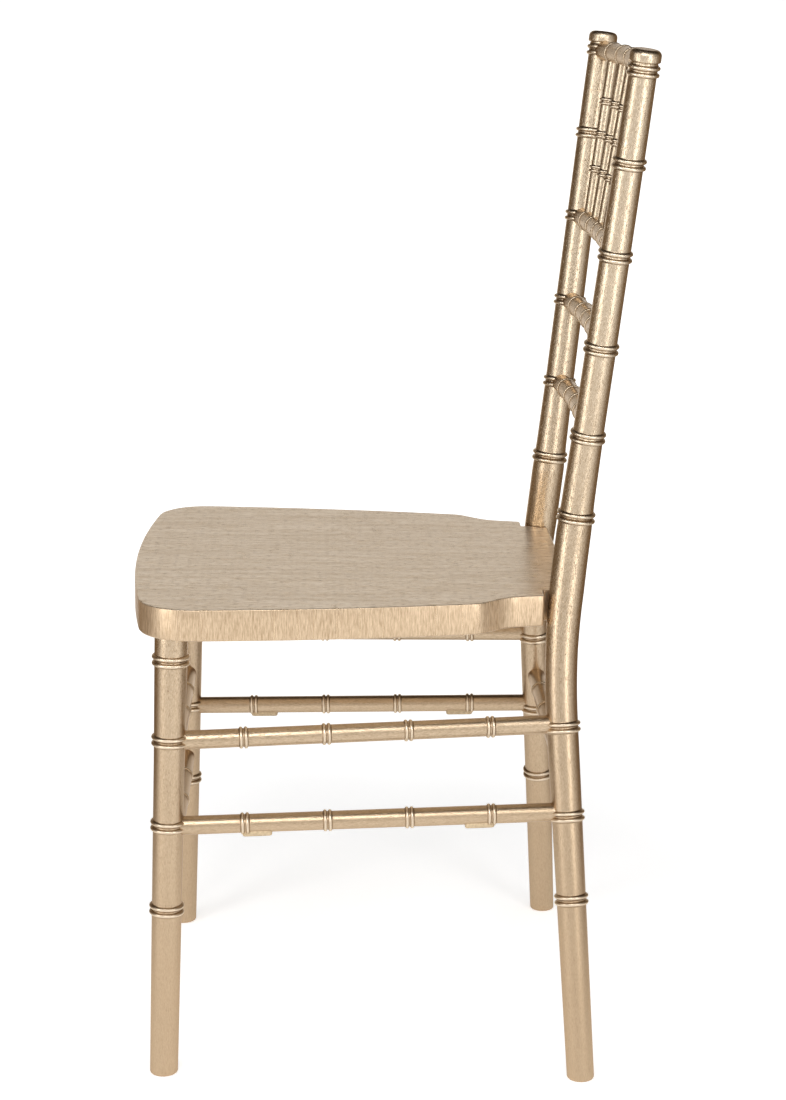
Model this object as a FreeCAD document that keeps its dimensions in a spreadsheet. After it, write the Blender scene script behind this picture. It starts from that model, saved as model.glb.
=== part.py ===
import FreeCAD, Part
import math
import os

import Sketcher
from FreeCAD import Placement, Rotation, Vector

# Chiavari chair. Millimetres, +Z up, the sitter looks along -Y, the sitter's left side is +X.
# The origin lies on the floor in the middle of the chair's outer box.

doc = FreeCAD.newDocument("chiavari_chair")
sheet = doc.addObject("Spreadsheet::Sheet", "Sizes")

SIZES = (
    ("origin_back", 19.3, "origin behind the middle between front and rear feet"),
    ("floor_extra", 8.0, "stick length below the floor before the feet are cut flat"),
    ("leg_foot_side", 183.8, "front leg axis at the floor, sideways"),
    ("leg_foot_front", 188.3, "front leg axis at the floor, forwards"),
    ("leg_head_side", 179.5, "front leg axis at the seat, sideways"),
    ("leg_head_front", 173.7, "front leg axis at the seat, forwards"),
    ("leg_head_height", 407.5, "height of the leg axis point at the seat"),
    ("leg_low_radius", 13.4, "front leg at the stretchers"),
    ("leg_head_radius", 14.4, "front leg under the seat"),
    ("leg_head_step", 345.0, "height where the front leg grows thicker"),
    ("step_length", 5.0, "length of each gentle change of thickness"),
    ("post_foot_side", 206.4, "rear post axis at the floor, sideways"),
    ("post_foot_back", 188.3, "rear post axis at the floor, backwards"),
    ("post_low_side_slope", -0.169, "sideways run of the lower post per unit of height"),
    ("post_low_back_slope", -0.052, "backward run of the lower post per unit of height"),
    ("post_high_side", 87.8, "upper post axis brought down to the floor, sideways"),
    ("post_high_back", 122.3, "upper post axis brought down to the floor, backwards"),
    ("post_high_side_slope", 0.085, "sideways run of the upper post per unit of height"),
    ("post_high_back_slope", 0.1205, "backward run of the upper post per unit of height"),
    ("bend_low_height", 375.0, "corner height of the lower bend"),
    ("bend_high_height", 490.0, "corner height of the upper bend"),
    ("bend_reach", 40.0, "distance from a corner to each end of its bend"),
    ("post_foot_radius", 12.6, "rear post below its lowest ring"),
    ("post_low_radius", 13.7, "rear post at the side stretchers"),
    ("post_seat_radius", 15.2, "rear post through both bends"),
    ("post_back_radius", 13.4, "rear post at the three lower rails"),
    ("post_top_radius", 12.3, "rear post at the top rail"),
    ("post_low_step", 154.0, "heights where the post changes its thickness"),
    ("post_top_step", 812.0, ""),
    ("lower_rail_height", 576.0, "rail heights where they meet the post axes"),
    ("middle_rail_height", 655.0, ""),
    ("spindle_rail_height", 736.0, ""),
    ("top_rail_height", 893.0, ""),
    ("lower_rail_bow", 7.5, "backward bow of each rail"),
    ("middle_rail_bow", 7.5, ""),
    ("spindle_rail_bow", 6.5, ""),
    ("top_rail_bow", 14.0, ""),
    ("rail_radius", 9.0, "all four rails"),
    ("neck_radius", 11.0, "neck under the cap"),
    ("neck_below", 4.8, "neck start above the top rail axis"),
    ("neck_length", 2.6, ""),
    ("cap_radius", 13.8, "cap on top of each rear post"),
    ("cap_length", 10.6, ""),
    ("cap_round", 2.4, "bevelled top edge of the cap"),
    ("setback", 4.0, "distance kept between the end of a tenon and the axis it runs to"),
    ("cope_half", 22.0, "half the length of the hollow cut at a stick end"),
    ("inset_share", 0.6, "share of its host's radius that a stick leaves free inside the host"),
    ("trim_half", 20.0, "half the width of the blocks that trim legs and posts"),
    ("overlap", 5.0, "length of a tenon inside its own stick"),
    ("tenon", 9.0, "side of the square tenons on stretchers and rails"),
    ("spindle_tenon", 5.0, "side of the square tenons on the spindles"),
    ("leg_tenon", 17.0, "side of the square tenons on the front legs"),
    ("leg_tenon_length", 13.0, ""),
    ("seat_tenon", 12.0, "side of the square tenons between the seat and the posts"),
    ("seat_tenon_back", 173.5, ""),
    ("seat_tenon_depth", 14.0, "middle of the seat tenons below the seat top"),
    ("seat_tenon_start", 114.0, "ends of the seat tenons, sideways"),
    ("seat_tenon_end", 131.0, ""),
    ("seat_post_gap", 0.8, "narrow gap round each post where it passes the seat"),
    ("stretcher_radius", 8.35, "all seven stretchers"),
    ("side_upper_front", 313.6, "heights of the side stretchers at the leg and post axes"),
    ("side_upper_rear", 317.2, ""),
    ("side_lower_front", 234.5, ""),
    ("side_lower_rear", 239.0, ""),
    ("front_upper_height", 272.0, "front stretchers"),
    ("front_lower_height", 182.7, ""),
    ("rear_height", 272.7, "rear stretcher"),
    ("spindle_radius", 5.2, "all six spindles"),
    ("bumper_start", 86.0, "near end of a bumper, from the middle of its stretcher"),
    ("bumper_length", 26.5, ""),
    ("bumper_half_width", 6.0, ""),
    ("bumper_drop", 2.6, "bumper face below the underside of the stretcher"),
    ("bumper_bevel", 1.6, ""),
    ("seat_top", 436.0, "height of the seat top over the middle between the feet"),
    ("seat_slope", 0.85, "degrees that the seat drops towards the rear"),
    ("seat_thickness", 28.5, ""),
    ("seat_front_bow", 1208.0, "radius of the bowed front edge"),
    ("seat_corner_side", 204.5, "front corner before it is rounded"),
    ("seat_corner_front", 196.6, ""),
    ("seat_corner_round", 46.0, ""),
    ("seat_side_bow", 1690.0, "radius of the bowed side edge"),
    ("seat_hip_side", 174.1, "rear end of the side edge"),
    ("seat_hip_back", 96.6, ""),
    ("seat_hip_round", 20.0, ""),
    ("seat_waist_side", 151.1, "inner end of the slanting notch edge"),
    ("seat_waist_back", 122.2, ""),
    ("seat_waist_round", 38.0, ""),
    ("seat_notch_side", 144.8, "outer corner of the edge in front of the post"),
    ("seat_notch_back", 155.0, ""),
    ("seat_notch_round", 2.5, ""),
    ("seat_tongue_side", 125.5, "side of the tongue between the posts"),
    ("seat_rear_back", 180.0, "rear corner of the tongue"),
    ("seat_rear_bow", 5000.0, "radius of the rear edge"),
    ("seat_top_bevel", 1.2, ""),
)

for row, (alias, number, meaning) in enumerate(SIZES, start=1):
    sheet.set("A%d" % row, alias)
    sheet.set("B%d" % row, str(number))
    sheet.setAlias("B%d" % row, alias)
    sheet.set("C%d" % row, meaning)
doc.recompute()


class Size:
    """A length that carries both its number and its expression on the sheet."""

    def __init__(self, text, value):
        self.text = text
        self.value = float(value)

    def join(self, sign, other, value):
        text = other.text if isinstance(other, Size) else repr(float(other))
        return Size("(%s %s %s)" % (self.text, sign, text), value)

    def __add__(self, other):
        return self.join("+", other, self.value + number_of(other))

    def __sub__(self, other):
        return self.join("-", other, self.value - number_of(other))

    def __mul__(self, other):
        return self.join("*", other, self.value * number_of(other))

    def __truediv__(self, other):
        return self.join("/", other, self.value / number_of(other))


def number_of(size):
    return size.value if isinstance(size, Size) else float(size)


def size(alias):
    return Size("Sizes.%s" % alias, sheet.get(alias))


def val(alias):
    return float(sheet.get(alias))


ZERO = Size("0", 0.0)
SIDES = (("left", 1.0), ("right", -1.0))
NEAR = 0.1  # edges are found by their place within this distance
SPINDLE_COUNT = 6
SPINDLE_SHARES = [1 - 2 * number / (SPINDLE_COUNT + 1) for number in range(1, SPINDLE_COUNT + 1)]
RAIL_CORNERS = [0.5, 0.0, -0.5]  # shares of the half length where a rail's straight lengths meet


# Placements, planes and sketches

def along(point, direction):
    """Placement whose own z axis runs along the direction."""
    across = Vector(0, 1, 0) if abs(direction.x) > abs(direction.z) else Vector(1, 0, 0)
    return Placement(point, Rotation(across, Vector(), direction, "ZXY"))


def upright(point, direction):
    """Placement of a sketch whose own y axis runs along the direction."""
    across = Vector(0, 1, 0) if abs(direction.x) > abs(direction.z) else Vector(1, 0, 0)
    return Placement(point, Rotation(across, direction, Vector(), "YXZ"))


def attach(item, body, offset):
    for plane in body.Origin.OriginFeatures:
        if plane.Role == "XY_Plane":
            item.AttachmentSupport = [(plane, "")]
    item.MapMode = "FlatFace"
    item.AttachmentOffset = offset


def arc_between(start, end, radius):
    """Arc from start to end; a positive radius bulges to the right of the way travelled."""
    chord = end - start
    half = chord.Length / 2
    rise = abs(radius) - math.sqrt(radius * radius - half * half)
    right = Vector(chord.y, -chord.x, 0).normalize()
    middle = (start + end) / 2 + right * math.copysign(rise, radius)
    if radius < 0:
        return Part.Arc(end, middle, start)
    return Part.Arc(start, middle, end)


def loop_sketch(body, name, corners, offset):
    """Closed sketch. A corner is x, y and the arc radius to the next corner (None for a line)."""
    sketch = body.newObject("Sketcher::SketchObject", name)
    attach(sketch, body, offset)
    count = len(corners)
    points = [Vector(x.value, y.value, 0) for x, y, radius, bulge in corners]
    ends = []
    for i, (x, y, radius, bulge) in enumerate(corners):
        start = points[i]
        end = points[(i + 1) % count]
        if radius is None:
            sketch.addGeometry(Part.LineSegment(start, end), False)
            ends.append((1, 2))
        else:
            sketch.addGeometry(arc_between(start, end, radius.value * bulge), False)
            ends.append((1, 2) if bulge > 0 else (2, 1))
    for i in range(count):
        after = (i + 1) % count
        sketch.addConstraint(Sketcher.Constraint("Coincident", i, ends[i][1], after, ends[after][0]))
    for i, (x, y, radius, bulge) in enumerate(corners):
        tie(sketch, "DistanceX", i, ends[i][0], x, -2)
        tie(sketch, "DistanceY", i, ends[i][0], y, -1)
        if radius is not None:
            index = sketch.addConstraint(Sketcher.Constraint("Radius", i, radius.value))
            sketch.setExpression("Constraints[%d]" % index, radius.text)
    return sketch


def tie(sketch, kind, line, end, amount, axis):
    if amount.value == 0:
        sketch.addConstraint(Sketcher.Constraint("PointOnObject", line, end, axis))
    else:
        index = sketch.addConstraint(Sketcher.Constraint(kind, line, end, amount.value))
        sketch.setExpression("Constraints[%d]" % index, amount.text)


def lines(rows):
    """Corners joined by straight lines."""
    return [(x, y, None, 1) for x, y in rows]


def circle_sketch(body, name, radius, offset):
    sketch = body.newObject("Sketcher::SketchObject", name)
    attach(sketch, body, offset)
    sketch.addGeometry(Part.Circle(Vector(), Vector(0, 0, 1), radius.value), False)
    sketch.addConstraint(Sketcher.Constraint("Coincident", 0, 3, -1, 1))
    index = sketch.addConstraint(Sketcher.Constraint("Radius", 0, radius.value))
    sketch.setExpression("Constraints[%d]" % index, radius.text)
    return sketch


# Features inside a body

def new_body(label, place):
    body = doc.addObject("PartDesign::Body", label)
    body.Label = label
    body.Placement = place
    return body


def turned(body, name, corners, offset):
    """Solid of revolution about the upright axis of the sketch."""
    sketch = loop_sketch(body, name + "_profile", lines(corners), offset)
    turn = body.newObject("PartDesign::Revolution", name)
    turn.Profile = sketch
    turn.ReferenceAxis = (sketch, ["V_Axis"])
    turn.Angle = 360.0
    return turn


def square_bar(body, kind, name, side, place, start, length):
    """Square bar centred on the z axis of the placement, added to the body or cut out of it."""
    bar = body.newObject("PartDesign::" + kind, name)
    half = side.value / 2
    attach(bar, body, place.multiply(Placement(Vector(-half, -half, start), Rotation())))
    bar.setExpression("Length", side.text)
    bar.setExpression("Width", side.text)
    bar.setExpression("Height", length.text)


def cope(body, name, radius, point, direction):
    """Hollows the end of a stick so that it sits against a round host."""
    cutter = body.newObject("PartDesign::SubtractiveCylinder", name)
    middle = point - unit(direction) * val("cope_half")
    attach(cutter, body, along(middle, direction))
    cutter.setExpression("Radius", radius.text)
    cutter.setExpression("Height", "2 * Sizes.cope_half")


def dress(body, kind, name, edges, amount):
    """Bevel or rounding on the edges of the body's last feature that the test accepts."""
    doc.recompute()
    last = body.Tip
    names = ["Edge%d" % (i + 1) for i, edge in enumerate(last.Shape.Edges) if edges(edge)]
    cut = body.newObject("PartDesign::" + kind, name)
    cut.Base = (last, names)
    cut.setExpression("Size" if kind == "Chamfer" else "Radius", amount.text)
    return cut


def bevel(body, name, edges, amount):
    return dress(body, "Chamfer", name, edges, amount)


def trim(body, name, place):
    """Cuts a stick flat at the plane of the placement; what lies above that plane goes."""
    half = val("trim_half")
    block = body.newObject("PartDesign::SubtractiveBox", name)
    attach(block, body, place.multiply(Placement(Vector(-half, -half, 0), Rotation())))
    for edge in ("Length", "Width", "Height"):
        block.setExpression(edge, "2 * Sizes.trim_half")


def trim_at_floor(body, name):
    trim(body, name, Placement(Vector(), Rotation(Vector(1, 0, 0), 180)))


# Axes of the sticks, in the frame of the chair

def leg_foot(side):
    return Vector(side * val("leg_foot_side"), -val("leg_foot_front") - val("origin_back"), 0)


def leg_axis(side, height):
    head = Vector(side * val("leg_head_side"), -val("leg_head_front") - val("origin_back"),
                  val("leg_head_height"))
    foot = leg_foot(side)
    return foot + (head - foot) * (height / head.z)


def low_axis(side, height):
    return Vector(
        side * (val("post_foot_side") + val("post_low_side_slope") * height),
        val("post_foot_back") + val("post_low_back_slope") * height - val("origin_back"),
        height,
    )


def high_axis(side, height):
    return Vector(
        side * (val("post_high_side") + val("post_high_side_slope") * height),
        val("post_high_back") + val("post_high_back_slope") * height - val("origin_back"),
        height,
    )


def unit(vector):
    return Vector(vector).normalize()


# Joints: a square tenon along the z axis of a frame whose origin lies on the axis of the host

class Joint:
    def __init__(self, name, place, host_radius, host_way, tenon):
        self.name = name
        self.place = place
        self.host_radius = size(host_radius)
        self.host_way = host_way
        self.tenon = size(tenon)

    def length(self):
        return self.host_radius + size("overlap") - size("setback")

    def add_tenon(self, body):
        """Copes the stick against its host and adds the tenon."""
        home = body.Placement.inverse()
        point = home.multVec(self.place.Base)
        way = home.Rotation.multVec(self.host_way)
        cope(body, self.name + "_cope", self.host_radius, point, way)
        square_bar(body, "AdditiveBox", self.name + "_tenon", self.tenon,
                   home.multiply(self.place), val("setback"), self.length())

    def cut_mortise(self, body):
        home = body.Placement.inverse()
        square_bar(body, "SubtractiveBox", self.name + "_mortise", self.tenon,
                   home.multiply(self.place), val("setback"), self.length())


# Rails: bowed to the rear, in straight lengths that the spindles stand on

class Rail:
    def __init__(self, label, level):
        self.label = label
        self.height = val(level + "_rail_height")
        self.bow = size(level + "_rail_bow")
        post = high_axis(1.0, self.height)
        self.half = post.x
        self.back = post.y
        self.radius = (self.half ** 2 + self.bow.value ** 2) / (2 * self.bow.value)
        self.host_radius = "post_top_radius" if level == "top" else "post_back_radius"
        self.joints = {}
        for name, side in SIDES:
            axis = high_axis(side, self.height)
            inward = unit(self.arc_point(side * RAIL_CORNERS[0]) - axis)
            self.joints[name] = Joint("%s_%s" % (label, name), along(axis, inward),
                                      self.host_radius, axis - high_axis(side, 0), "tenon")

    def arc_point(self, share):
        """Point of the arc at a share of the half length."""
        side = share * self.half
        drop = self.radius - math.sqrt(self.radius ** 2 - side ** 2)
        return Vector(side, self.back + self.bow.value - drop, self.height)

    def host(self, share):
        """Axis point, direction and radius of the straight length that carries a spindle."""
        knots = [1.0] + RAIL_CORNERS + [-1.0]
        for high, low in zip(knots, knots[1:]):
            if low <= share <= high:
                start = self.arc_point(low)
                way = self.arc_point(high) - start
                return start + way * ((share - low) / (high - low)), way, "rail_radius"

    def corners(self):
        """Corner points from the left end to the right end, both inside the posts."""
        inner = [self.arc_point(share) for share in RAIL_CORNERS]
        ends = []
        for side, near in ((1.0, inner[0]), (-1.0, inner[-1])):
            axis = high_axis(side, self.height)
            ends.append(axis + unit(near - axis) * (val("inset_share") * val(self.host_radius)))
        return [ends[0]] + inner + [ends[1]]


RAILS = (
    Rail("lower_rail", "lower"),
    Rail("middle_rail", "middle"),
    Rail("spindle_rail", "spindle"),
    Rail("top_rail", "top"),
)
SPINDLE_RAIL = RAILS[2]
TOP_RAIL = RAILS[3]


# Straight sticks between two hosts; a host is a point on its axis, the axis and its radius

class Stick:
    def __init__(self, label, start, end, radius, tenon):
        self.label = label
        self.radius = size(radius)
        self.reach = (end[0] - start[0]).Length
        way = unit(end[0] - start[0])
        self.place = along(start[0], way)
        self.joints = (
            Joint(label + "_start", self.place, start[2], start[1], tenon),
            Joint(label + "_end", along(end[0], way * -1), end[2], end[1], tenon),
        )


def leg_host(side, height):
    return leg_axis(side, height), leg_axis(side, height) - leg_foot(side), "leg_low_radius"


def low_host(side, height):
    return low_axis(side, height), low_axis(side, height) - low_axis(side, 0), "post_low_radius"


def stretchers():
    sticks = {}
    for name, side in SIDES:
        for level in ("upper", "lower"):
            start = leg_host(side, val("side_%s_front" % level))
            end = low_host(side, val("side_%s_rear" % level))
            label = "%s_%s_side_stretcher" % (name, level)
            sticks[label] = Stick(label, start, end, "stretcher_radius", "tenon")
    for level in ("upper", "lower"):
        height = val("front_%s_height" % level)
        label = "%s_front_stretcher" % level
        sticks[label] = Stick(label, leg_host(1.0, height), leg_host(-1.0, height),
                              "stretcher_radius", "tenon")
    height = val("rear_height")
    sticks["rear_stretcher"] = Stick("rear_stretcher", low_host(1.0, height),
                                     low_host(-1.0, height), "stretcher_radius", "tenon")
    return sticks


def spindles():
    sticks = []
    for number, share in enumerate(SPINDLE_SHARES, start=1):
        sticks.append(Stick("spindle_%d" % number, SPINDLE_RAIL.host(share), TOP_RAIL.host(share),
                            "spindle_radius", "spindle_tenon"))
    return sticks


STRETCHERS = stretchers()
SPINDLES = spindles()
SEAT_PLACE = Placement(
    Vector(0, -val("origin_back"), val("seat_top")),
    Rotation(Vector(1, 0, 0), -val("seat_slope")),
)
parts = []


def straight_stick(stick):
    body = new_body(stick.label, stick.place)
    start, end = stick.joints
    inset = start.host_radius * size("inset_share")
    far = Size(repr(stick.reach), stick.reach) - end.host_radius * size("inset_share")
    turned(body, stick.label + "_turning", [
        (ZERO, inset),
        (stick.radius, inset),
        (stick.radius, far),
        (ZERO, far),
    ], upright(Vector(), Vector(0, 0, 1)))
    for joint in stick.joints:
        joint.add_tenon(body)
    parts.append(body)


# Front legs

def leg_joint(side):
    """Frame on the leg axis at the seat's underside."""
    foot = leg_foot(side)
    way = unit(leg_axis(side, val("leg_head_height")) - foot)
    under = SEAT_PLACE.multVec(Vector(0, 0, -val("seat_thickness")))
    normal = SEAT_PLACE.Rotation.multVec(Vector(0, 0, 1))
    rise = (under - foot).dot(normal) / way.dot(normal)
    return along(foot + way * rise, way), rise


def front_leg(name, side):
    foot = leg_foot(side)
    body = new_body(name + "_front_leg", Placement(foot, Rotation()))
    top, rise = leg_joint(side)
    head = top.Base - foot
    stretch = head.Length / head.z
    step = size("step_length")
    end = Size(repr(rise), rise) + size("overlap")
    turned(body, name + "_leg_turning", [
        (ZERO, size("floor_extra") * -1),
        (size("leg_low_radius"), size("floor_extra") * -1),
        (size("leg_low_radius"), size("leg_head_step") * stretch),
        (size("leg_head_radius"), size("leg_head_step") * stretch + step),
        (size("leg_head_radius"), end),
        (ZERO, end),
    ], upright(Vector(), unit(head)))
    trim_at_floor(body, name + "_leg_floor_cut")
    trim(body, name + "_leg_shoulder", Placement(head, SEAT_PLACE.Rotation))
    home = body.Placement.inverse()
    square_bar(body, "AdditiveBox", name + "_leg_tenon", size("leg_tenon"), home.multiply(top),
               -val("overlap"), size("leg_tenon_length") + size("overlap"))
    for label, stick in STRETCHERS.items():
        if label.startswith(name):
            stick.joints[0].cut_mortise(body)
        elif label.endswith("front_stretcher"):
            stick.joints[0 if side > 0 else 1].cut_mortise(body)
    parts.append(body)


# Rear posts: turned below and above, bent through the seat

def rear_post(name, side):
    foot = low_axis(side, 0)
    body = new_body(name + "_rear_post", Placement(foot, Rotation()))
    low_corner = low_axis(side, val("bend_low_height")) - foot
    high_corner = high_axis(side, val("bend_high_height")) - foot
    top = high_axis(side, val("top_rail_height")) - foot
    reach = size("bend_reach")

    low_way = unit(low_corner)
    stretch = low_corner.Length / low_corner.z
    step = size("step_length")
    low_end = size("bend_low_height") * stretch - reach
    turned(body, name + "_post_low_turning", [
        (ZERO, size("floor_extra") * -1),
        (size("post_foot_radius"), size("floor_extra") * -1),
        (size("post_foot_radius"), size("post_low_step") * stretch),
        (size("post_low_radius"), size("post_low_step") * stretch + step),
        (size("post_low_radius"), low_end - step / 2),
        (size("post_seat_radius"), low_end),
        (ZERO, low_end),
    ], upright(Vector(), low_way))

    middle = Size(repr((high_corner - low_corner).Length), (high_corner - low_corner).Length)
    turned(body, name + "_post_middle_turning", [
        (ZERO, reach),
        (size("post_seat_radius"), reach),
        (size("post_seat_radius"), middle - reach),
        (ZERO, middle - reach),
    ], upright(low_corner, unit(high_corner - low_corner)))

    bend(body, name + "_post_low_bend", Vector(), low_corner, high_corner)
    bend(body, name + "_post_high_bend", low_corner, high_corner, top)

    high_way = unit(top - high_corner)
    high_stretch = (top - high_corner).Length / (top - high_corner).z

    def level(alias):
        return (size(alias) - size("bend_high_height")) * high_stretch

    neck_start = level("top_rail_height") + size("neck_below")
    cap_start = neck_start + size("neck_length")
    cap_end = cap_start + size("cap_length")
    cap_round = size("cap_round")
    turned(body, name + "_post_high_turning", [
        (ZERO, reach),
        (size("post_seat_radius"), reach),
        (size("post_back_radius"), reach + step),
        (size("post_back_radius"), level("post_top_step")),
        (size("post_top_radius"), level("post_top_step") + step),
        (size("post_top_radius"), neck_start),
        (size("neck_radius"), neck_start),
        (size("neck_radius"), cap_start),
        (size("cap_radius"), cap_start),
        (size("cap_radius"), cap_end - cap_round),
        (size("cap_radius") - cap_round, cap_end),
        (ZERO, cap_end),
    ], upright(high_corner, high_way))

    trim_at_floor(body, name + "_post_floor_cut")
    for label, stick in STRETCHERS.items():
        if label.startswith(name):
            stick.joints[1].cut_mortise(body)
    STRETCHERS["rear_stretcher"].joints[0 if side > 0 else 1].cut_mortise(body)
    for rail in RAILS:
        rail.joints[name].cut_mortise(body)
    home = body.Placement.inverse()
    square_bar(body, "SubtractiveBox", name + "_seat_mortise", size("seat_tenon"),
               home.multiply(seat_joint(side)), 0, seat_tenon_length())
    parts.append(body)


def bend(body, name, before, corner, after):
    """Round bend about an axis square to the plane of the two straight lengths."""
    inward = unit(corner - before)
    outward = unit(after - corner)
    angle = inward.getAngle(outward)
    radius = val("bend_reach") / math.tan(angle / 2)
    bow = (outward - inward * math.cos(angle)) / math.sin(angle)
    centre = corner - inward * val("bend_reach") + bow * radius
    axis = (bow * -1).cross(inward)
    thick = size("post_seat_radius")
    sketch = body.newObject("Sketcher::SketchObject", name + "_section")
    attach(sketch, body, Placement(centre, Rotation(bow * -1, axis, Vector(), "XYZ")))
    sketch.addGeometry(Part.Circle(Vector(radius, 0, 0), Vector(0, 0, 1), thick.value), False)
    sketch.addConstraint(Sketcher.Constraint("PointOnObject", 0, 3, -1))
    place = sketch.addConstraint(Sketcher.Constraint("DistanceX", 0, 3, radius))
    sketch.setExpression("Constraints[%d]" % place,
                         "Sizes.bend_reach * %r" % (1 / math.tan(angle / 2)))
    girth = sketch.addConstraint(Sketcher.Constraint("Radius", 0, thick.value))
    sketch.setExpression("Constraints[%d]" % girth, thick.text)
    turn = body.newObject("PartDesign::Revolution", name)
    turn.Profile = sketch
    turn.ReferenceAxis = (sketch, ["V_Axis"])
    turn.Angle = math.degrees(angle)


def seat_joint(side):
    """Frame of the tenon that runs from the seat's tongue into a post."""
    start = Vector(side * val("seat_tenon_start"), val("seat_tenon_back"), -val("seat_tenon_depth"))
    return SEAT_PLACE.multiply(along(start, Vector(side, 0, 0)))


def seat_tenon_length():
    return size("seat_tenon_end") - size("seat_tenon_start")


# Seat panel with its tongue between the two posts

def seat():
    body = new_body("seat", SEAT_PLACE)
    half = [
        ("seat_corner_side", "seat_corner_front", -1, "seat_side_bow"),
        ("seat_hip_side", "seat_hip_back", 1, None),
        ("seat_waist_side", "seat_waist_back", 1, None),
        ("seat_notch_side", "seat_notch_back", 1, None),
        ("seat_tongue_side", "seat_notch_back", 1, None),
        ("seat_tongue_side", "seat_rear_back", 1, "seat_rear_bow"),
    ]
    bows = [row[3] for row in half]
    bows += bows[-2::-1] + ["seat_front_bow"]
    rows = [(size(row[0]), size(row[1]) * row[2]) for row in half]
    rows += [(across * -1, back) for across, back in rows[::-1]]
    corners = [(x, y, size(bow) if bow else None, 1) for (x, y), bow in zip(rows, bows)]
    sketch = loop_sketch(body, "seat_outline", corners, Placement())
    pad = body.newObject("PartDesign::Pad", "seat_pad")
    pad.Profile = sketch
    pad.Reversed = True
    pad.setExpression("Length", "Sizes.seat_thickness")
    for corner, way in (("corner", -1), ("hip", 1), ("waist", 1), ("notch", 1)):
        across = val("seat_%s_side" % corner)
        back = val("seat_%s_%s" % (corner, "front" if way < 0 else "back")) * way

        def upright_corner(edge):
            box = edge.BoundBox
            return box.ZLength > NEAR and abs(abs(box.XMin) - across) < NEAR and abs(box.YMin - back) < NEAR

        dress(body, "Fillet", "seat_%s_rounding" % corner, upright_corner,
              size("seat_%s_round" % corner))
    bevel(body, "seat_top_edge", lambda edge: edge.BoundBox.ZMin > -NEAR, size("seat_top_bevel"))
    home = body.Placement.inverse()
    for name, side in SIDES:
        low_corner = low_axis(side, val("bend_low_height"))
        high_corner = high_axis(side, val("bend_high_height"))
        passage = body.newObject("PartDesign::SubtractiveCylinder", name + "_post_passage")
        attach(passage, body, home.multiply(along(low_corner, unit(high_corner - low_corner))))
        passage.setExpression("Radius", "Sizes.post_seat_radius + Sizes.seat_post_gap")
        passage.setExpression("Height", "Sizes.bend_high_height - Sizes.bend_low_height")
        square_bar(body, "SubtractiveBox", name + "_leg_mortise", size("leg_tenon"),
                   home.multiply(leg_joint(side)[0]), -val("overlap"),
                   size("leg_tenon_length") + size("overlap"))
        square_bar(body, "AdditiveBox", name + "_seat_tenon", size("seat_tenon"),
                   home.multiply(seat_joint(side)), 0, seat_tenon_length())
    parts.append(body)


# Rails

def bowed_rail(rail, mortises):
    body = new_body(rail.label, Placement(Vector(0, rail.back, rail.height), Rotation()))
    home = body.Placement.Base
    corners = [point - home for point in rail.corners()]
    path = body.newObject("Sketcher::SketchObject", rail.label + "_path")
    attach(path, body, Placement())
    for number in range(len(corners) - 1):
        path.addGeometry(Part.LineSegment(corners[number], corners[number + 1]), False)
        if number:
            path.addConstraint(Sketcher.Constraint("Coincident", number - 1, 2, number, 1))
    for number, point in enumerate(corners):
        line, end = (number, 1) if number < len(corners) - 1 else (number - 1, 2)
        middle = abs(point.x) < NEAR
        across = ZERO if middle else Size(repr(point.x), point.x)
        back = rail.bow if middle else rail.bow * (point.y / rail.bow.value)
        tie(path, "DistanceX", line, end, across, -2)
        tie(path, "DistanceY", line, end, back, -1)
    ring = circle_sketch(body, rail.label + "_section", size("rail_radius"),
                         along(corners[0], unit(corners[1] - corners[0])))
    pipe = body.newObject("PartDesign::AdditivePipe", rail.label + "_pipe")
    pipe.Profile = ring
    pipe.Spine = path
    pipe.Transition = "Right corner"
    for joint in rail.joints.values():
        joint.add_tenon(body)
    for joint in mortises:
        joint.cut_mortise(body)
    parts.append(body)


# Stacking bumpers under the lower side stretchers

def bumper(name, side, end, sign):
    stick = STRETCHERS["%s_lower_side_stretcher" % name]
    direction = stick.place.Rotation.multVec(Vector(0, 0, 1))
    near = stick.place.Base + direction * (stick.reach / 2 + sign * val("bumper_start"))
    way = direction * sign
    turn = Rotation(Vector(1, 0, 0), Vector(), way, "ZXY")
    body = new_body("%s_%s_bumper" % (name, end), Placement(near, turn))
    edge = size("bumper_half_width")
    rim = math.sqrt(val("stretcher_radius") ** 2 - edge.value ** 2)
    rim_size = Size(repr(rim), rim)
    face = size("stretcher_radius") + size("bumper_drop")
    corners = [
        (edge * -1, face * sign, None, 1),
        (edge, face * sign, None, 1),
        (edge, rim_size * sign, size("stretcher_radius"), sign),
        (edge * -1, rim_size * sign, None, 1),
    ]
    sketch = loop_sketch(body, "%s_%s_bumper_outline" % (name, end), corners, Placement())
    pad = body.newObject("PartDesign::Pad", "%s_%s_bumper_pad" % (name, end))
    pad.Profile = sketch
    pad.setExpression("Length", "Sizes.bumper_length")
    level = face.value * sign
    bevel(body, "%s_%s_bumper_bevel" % (name, end),
          lambda line: abs(line.BoundBox.YMin - level) < NEAR and abs(line.BoundBox.YMax - level) < NEAR,
          size("bumper_bevel"))
    parts.append(body)


# Assembly

for name, side in SIDES:
    rear_post(name, side)
    front_leg(name, side)
for stick in STRETCHERS.values():
    straight_stick(stick)
for rail in RAILS:
    sockets = []
    if rail is SPINDLE_RAIL:
        sockets = [stick.joints[0] for stick in SPINDLES]
    elif rail is TOP_RAIL:
        sockets = [stick.joints[1] for stick in SPINDLES]
    bowed_rail(rail, sockets)
for stick in SPINDLES:
    straight_stick(stick)
for name, side in SIDES:
    bumper(name, side, "front", -1)
    bumper(name, side, "rear", 1)
seat()
doc.recompute()

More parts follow.
